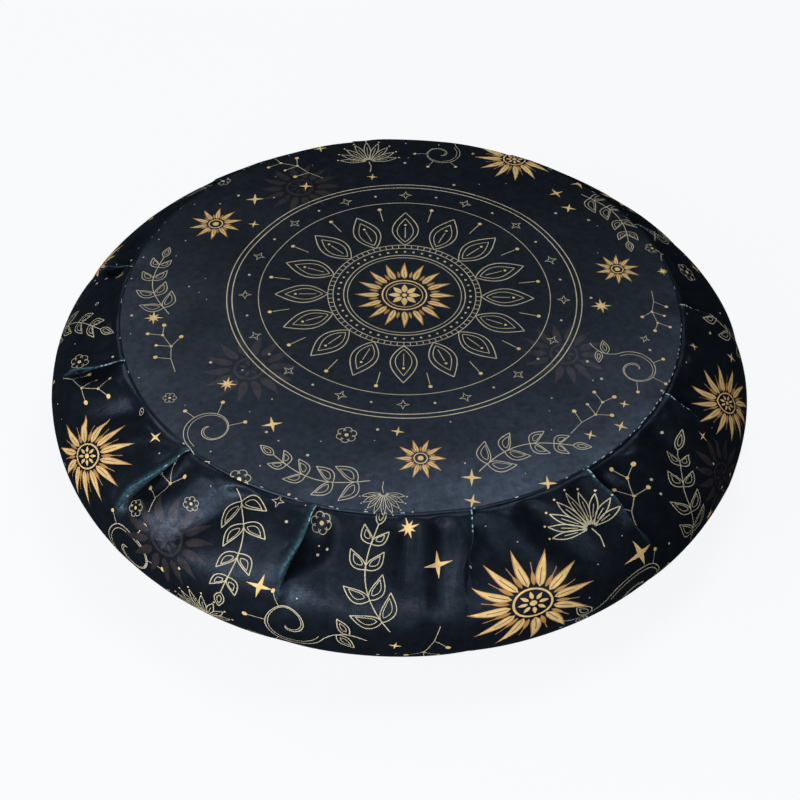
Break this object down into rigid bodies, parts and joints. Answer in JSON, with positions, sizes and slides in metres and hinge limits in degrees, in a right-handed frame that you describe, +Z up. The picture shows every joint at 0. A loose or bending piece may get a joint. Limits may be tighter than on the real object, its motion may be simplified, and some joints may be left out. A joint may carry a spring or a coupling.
{
  "type": "zafu meditation cushion",
  "caption": "Round meditation cushion in dark printed velour, with a crowned round top, a knife-pleated side band and a flat round base.",
  "frame": {"origin": "centre of the cushion on the surface it rests on", "axes": "+Z up through the crown of the top panel; -Y is the side that faces the viewer in the picture"},
  "size_m": [0.4, 0.4, 0.1055],
  "materials": {
    "panel_cloth": "short-pile velour, blue-black, with a dull gold print",
    "band_cloth": "short-pile velour, blue-black, with a dull gold print and a teal sheen on the folds",
    "base_cloth": "short-pile velour, blue-black, with a dull gold print"
  },
  "bodies": {
    "root": {"top_panel": "panel_cloth", "side_band": "band_cloth", "bottom_panel": "base_cloth"}
  },
  "joints": []
}
